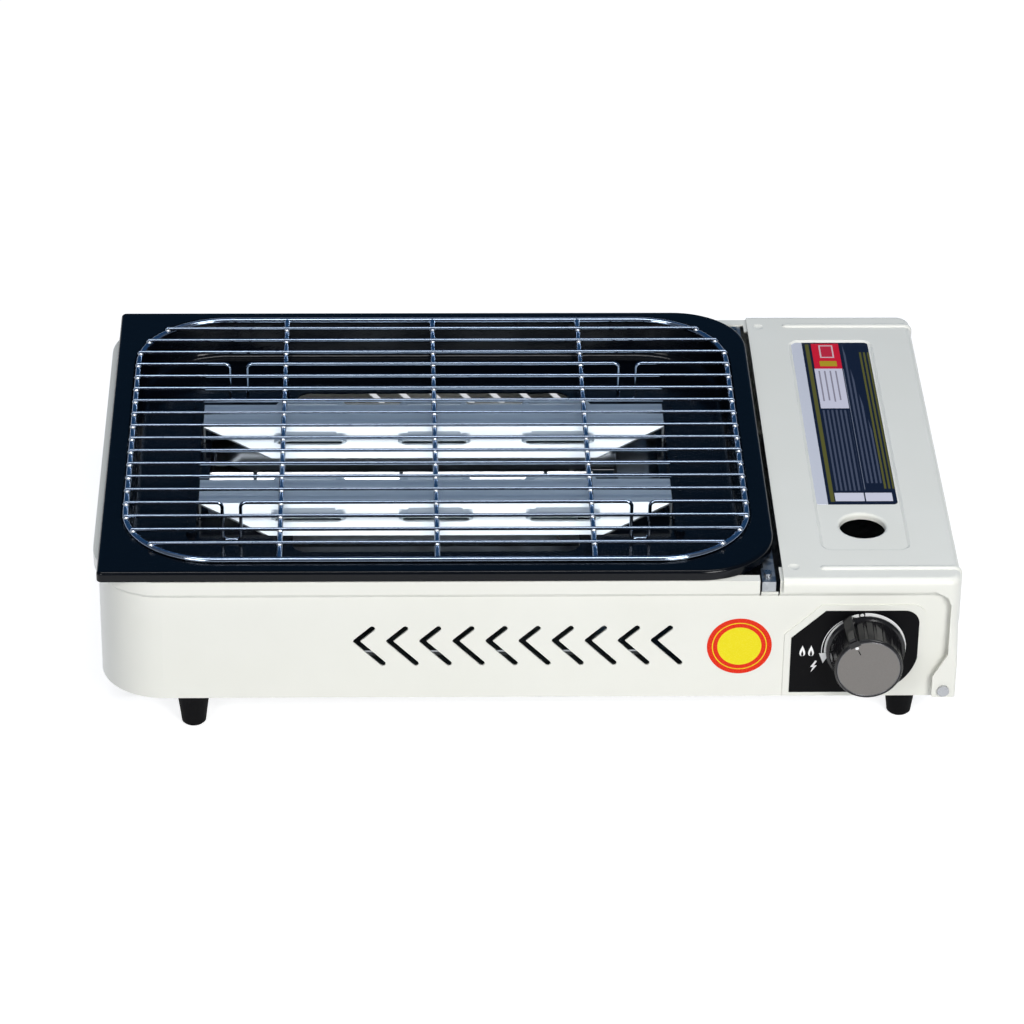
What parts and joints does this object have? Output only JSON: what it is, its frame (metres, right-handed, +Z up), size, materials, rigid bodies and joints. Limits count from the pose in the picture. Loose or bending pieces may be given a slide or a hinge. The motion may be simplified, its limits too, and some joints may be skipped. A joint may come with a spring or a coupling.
{
  "type": "cassette gas barbecue stove",
  "caption": "Tabletop cassette gas stove with a drip tray, wire grill and heat plates over tube burners, a hinged cover over the gas bay, and a turning control knob.",
  "frame": {"origin": "on the floor, under the middle of the whole object's box", "axes": "+X to the gas bay side, +Y from the knob's front to the back, +Z up"},
  "size_m": [0.467, 0.314, 0.1055],
  "materials": {
    "white_enamel": "smooth gloss powder coat over pressed steel",
    "black_enamel": "deep gloss enamel over drawn steel",
    "black_label": "satin printed plate",
    "galvanised": "zinc coated sheet with a faint spangle",
    "rubber": "matt moulded rubber",
    "zinc_screw": "bright zinc plated steel",
    "stainless": "rolled stainless sheet with fine lengthwise lines",
    "chrome_wire": "bright chromed steel wire",
    "black_plastic": "glossy moulded plastic",
    "grey_plastic": "satin grey lacquered disc",
    "brass": "turned brass",
    "cast_zinc": "die cast zinc, lightly grained",
    "seal_rubber": "soft moulded seal",
    "magnet": "nickel plated magnet",
    "lead_rubber": "silicone covered ignition lead",
    "ceramic": "glazed white insulator",
    "electrode_steel": "heat resisting steel pin",
    "aluminium_pipe": "drawn aluminium pipe",
    "aluminised": "aluminised steel tube, satin",
    "bright_aluminised": "bright aluminised sheet"
  },
  "bodies": {
    "chassis": {"body_shell": "white_enamel", "control_plate": "black_label", "base_plate": "galvanised", "partition_wall": "galvanised", "cartridge_plate": "galvanised", "cartridge_cradle": "galvanised", "regulator_bracket": "galvanised", "manifold_bracket": "galvanised", "feet": "rubber", "foot_screws": "zinc_screw", "foot_nuts": "zinc_screw", "partition_screws": "zinc_screw", "bracket_screws": "zinc_screw", "regulator_cap_screws": "zinc_screw", "hinge_rivets": "zinc_screw", "piezo_igniter": "black_plastic", "regulator_body": "cast_zinc", "regulator_cap": "cast_zinc", "cartridge_socket": "cast_zinc", "socket_seal": "seal_rubber", "socket_magnets": "magnet", "ignition_lead": "lead_rubber", "electrode_insulator": "ceramic", "electrode_pin": "electrode_steel", "gas_pipe": "aluminium_pipe", "injector_elbow": "brass", "gas_injector": "brass", "mixing_tube": "aluminised", "burner_manifold": "aluminised", "front_burner": "aluminised", "rear_burner": "aluminised", "burner_saddles": "aluminised", "burner_pan": "bright_aluminised"},
    "cover": {"bay_cover": "white_enamel"},
    "knob": {"control_knob": "black_plastic", "knob_face": "grey_plastic", "valve_spindle": "brass"},
    "tray": {"drip_tray": "black_enamel"},
    "heat_plates": {"heat_plate_front": "stainless", "heat_plate_rear": "stainless"},
    "grill": {"grill_ring": "chrome_wire", "grill_long_wires": "chrome_wire", "grill_cross_wires": "chrome_wire", "grill_leg_wires": "chrome_wire"}
  },
  "joints": [
    {"name": "cover_hinge", "type": "hinge", "parent": "chassis", "child": "cover", "pos_m": [0.2256, 0, 0.027], "axis": [0, 1, 0], "range_deg": [0, 100]},
    {"name": "knob_turn", "type": "hinge", "parent": "chassis", "child": "knob", "pos_m": [0.1825, -0.13504, 0.0515], "axis": [0, -1, 0], "range_deg": [0, 115]},
    {"name": "tray_lift", "type": "slide", "parent": "chassis", "child": "tray", "axis": [0, 0, 1], "range_m": [0, 0.08]},
    {"name": "plates_lift", "type": "slide", "parent": "tray", "child": "heat_plates", "axis": [0, 0, 1], "range_m": [0, 0.05]},
    {"name": "grill_lift", "type": "slide", "parent": "heat_plates", "child": "grill", "axis": [0, 0, 1], "range_m": [0, 0.06]}
  ]
}
